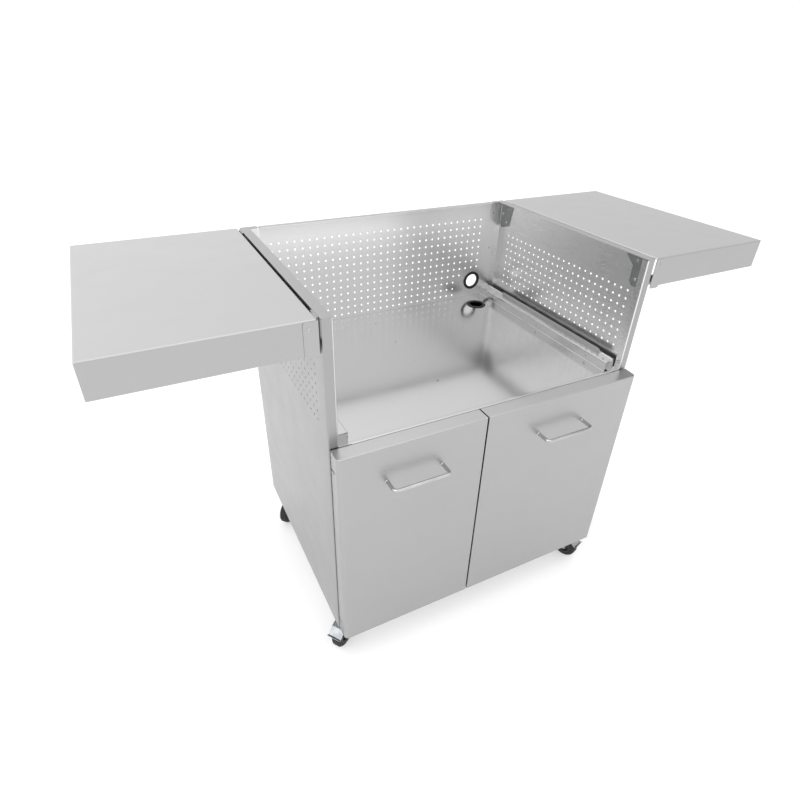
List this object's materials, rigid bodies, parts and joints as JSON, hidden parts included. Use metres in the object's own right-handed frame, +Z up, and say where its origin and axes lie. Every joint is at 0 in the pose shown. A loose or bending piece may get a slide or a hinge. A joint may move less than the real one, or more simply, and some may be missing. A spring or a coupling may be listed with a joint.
{
  "type": "griddle cart",
  "caption": "Freestanding stainless griddle cart: open perforated well, cabinet with hinged doors, fold-down side shelves and swivel casters with brakes.",
  "frame": {"origin": "on the floor, under the middle of the overall box", "axes": "+X along the width, towards the right shelf as seen from the doors; -Y is the front, where the doors are; +Z up"},
  "size_m": [1.552, 0.6699, 0.948],
  "materials": {
    "stainless_sheet": "fine brushed 430 stainless sheet",
    "handle_wire": "polished stainless wire",
    "fasteners": "plain steel fasteners",
    "zinc_plated_steel": "bright zinc plated pressed steel",
    "black_rubber": "moulded black rubber",
    "black_wheel": "moulded black caster tyre and hub",
    "catch_plastic": "moulded magnet catch"
  },
  "bodies": {
    "cabinet": {"back_panel": "stainless_sheet", "backing_bolts": "fasteners", "backing_plates": "stainless_sheet", "body_rivets": "fasteners", "cabinet_floor": "stainless_sheet", "caster_plate_front_left": "zinc_plated_steel", "caster_plate_front_right": "zinc_plated_steel", "caster_plate_rear_left": "zinc_plated_steel", "caster_plate_rear_right": "zinc_plated_steel", "centre_divider": "stainless_sheet", "door_hinge_plates": "zinc_plated_steel", "front_header": "stainless_sheet", "griddle_stops": "stainless_sheet", "grommet_back": "black_rubber", "grommet_floor": "black_rubber", "lower_back_panel": "stainless_sheet", "magnet_catches": "catch_plastic", "shelf_brackets": "stainless_sheet", "side_panel_left": "stainless_sheet", "side_panel_right": "stainless_sheet", "well_rail_left": "stainless_sheet", "well_rail_right": "stainless_sheet", "well_tray": "stainless_sheet"},
    "shelf_left": {"shelf_end_plates_left": "stainless_sheet", "shelf_end_screws_left": "fasteners", "shelf_left": "stainless_sheet", "shelf_pivots_left": "fasteners", "shelf_stiffeners_left": "stainless_sheet"},
    "shelf_right": {"shelf_end_plates_right": "stainless_sheet", "shelf_end_screws_right": "fasteners", "shelf_pivots_right": "fasteners", "shelf_right": "stainless_sheet", "shelf_stiffeners_right": "stainless_sheet"},
    "door_left": {"door_left": "stainless_sheet", "door_liner_left": "stainless_sheet", "handle_left": "handle_wire", "handle_screws_left": "fasteners", "pivot_blocks_left": "fasteners", "pivot_pins_left": "fasteners", "strike_plate_left": "zinc_plated_steel"},
    "door_right": {"door_liner_right": "stainless_sheet", "door_right": "stainless_sheet", "handle_right": "handle_wire", "handle_screws_right": "fasteners", "pivot_blocks_right": "fasteners", "pivot_pins_right": "fasteners", "strike_plate_right": "zinc_plated_steel"},
    "fork_front_left": {"caster_fork_front_left": "zinc_plated_steel"},
    "wheel_front_left": {"caster_wheel_front_left": "black_wheel"},
    "pedal_front_left": {"brake_pedal_front_left": "zinc_plated_steel"},
    "fork_front_right": {"caster_fork_front_right": "zinc_plated_steel"},
    "wheel_front_right": {"caster_wheel_front_right": "black_wheel"},
    "pedal_front_right": {"brake_pedal_front_right": "zinc_plated_steel"},
    "fork_rear_left": {"caster_fork_rear_left": "zinc_plated_steel"},
    "wheel_rear_left": {"caster_wheel_rear_left": "black_wheel"},
    "fork_rear_right": {"caster_fork_rear_right": "zinc_plated_steel"},
    "wheel_rear_right": {"caster_wheel_rear_right": "black_wheel"}
  },
  "joints": [
    {"name": "shelf_left_fold", "type": "hinge", "parent": "cabinet", "child": "shelf_left", "pos_m": [-0.422, 0.03855, 0.891], "axis": [0, -1, 0], "range_deg": [0, 90]},
    {"name": "shelf_right_fold", "type": "hinge", "parent": "cabinet", "child": "shelf_right", "pos_m": [0.422, 0.03855, 0.891], "axis": [0, 1, 0], "range_deg": [0, 90]},
    {"name": "door_left_swing", "type": "hinge", "parent": "cabinet", "child": "door_left", "pos_m": [-0.391, -0.26995, 0.381], "axis": [0, 0, -1], "range_deg": [0, 105]},
    {"name": "door_right_swing", "type": "hinge", "parent": "cabinet", "child": "door_right", "pos_m": [0.391, -0.26995, 0.381], "axis": [0, 0, 1], "range_deg": [0, 105]},
    {"name": "swivel_front_left", "type": "hinge", "parent": "cabinet", "child": "fork_front_left", "pos_m": [-0.35, -0.21095, 0.087], "axis": [0, 0, 1], "continuous": true},
    {"name": "roll_front_left", "type": "hinge", "parent": "fork_front_left", "child": "wheel_front_left", "pos_m": [-0.38031, -0.23217, 0.0375], "axis": [0.5736, -0.8192, 0], "continuous": true},
    {"name": "brake_front_left", "type": "hinge", "parent": "fork_front_left", "child": "pedal_front_left", "pos_m": [-0.36966, -0.22472, 0.0785], "axis": [0.5736, -0.8192, 0], "range_deg": [0, 5]},
    {"name": "swivel_front_right", "type": "hinge", "parent": "cabinet", "child": "fork_front_right", "pos_m": [0.35, -0.21095, 0.087], "axis": [0, 0, 1], "continuous": true},
    {"name": "roll_front_right", "type": "hinge", "parent": "fork_front_right", "child": "wheel_front_right", "pos_m": [0.36143, -0.24614, 0.0375], "axis": [0.9511, 0.309, 0], "continuous": true},
    {"name": "brake_front_right", "type": "hinge", "parent": "fork_front_right", "child": "pedal_front_right", "pos_m": [0.35742, -0.23378, 0.0785], "axis": [0.9511, 0.309, 0], "range_deg": [0, 5]},
    {"name": "swivel_rear_left", "type": "hinge", "parent": "cabinet", "child": "fork_rear_left", "pos_m": [-0.35, 0.28805, 0.087], "axis": [0, 0, 1], "continuous": true},
    {"name": "roll_rear_left", "type": "hinge", "parent": "fork_rear_left", "child": "wheel_rear_left", "pos_m": [-0.37616, 0.26189, 0.0375], "axis": [0.7071, -0.7071, 0], "continuous": true},
    {"name": "swivel_rear_right", "type": "hinge", "parent": "cabinet", "child": "fork_rear_right", "pos_m": [0.35, 0.28805, 0.087], "axis": [0, 0, 1], "continuous": true},
    {"name": "roll_rear_right", "type": "hinge", "parent": "fork_rear_right", "child": "wheel_rear_right", "pos_m": [0.3315, 0.25601, 0.0375], "axis": [0.866, -0.5, 0], "continuous": true}
  ]
}
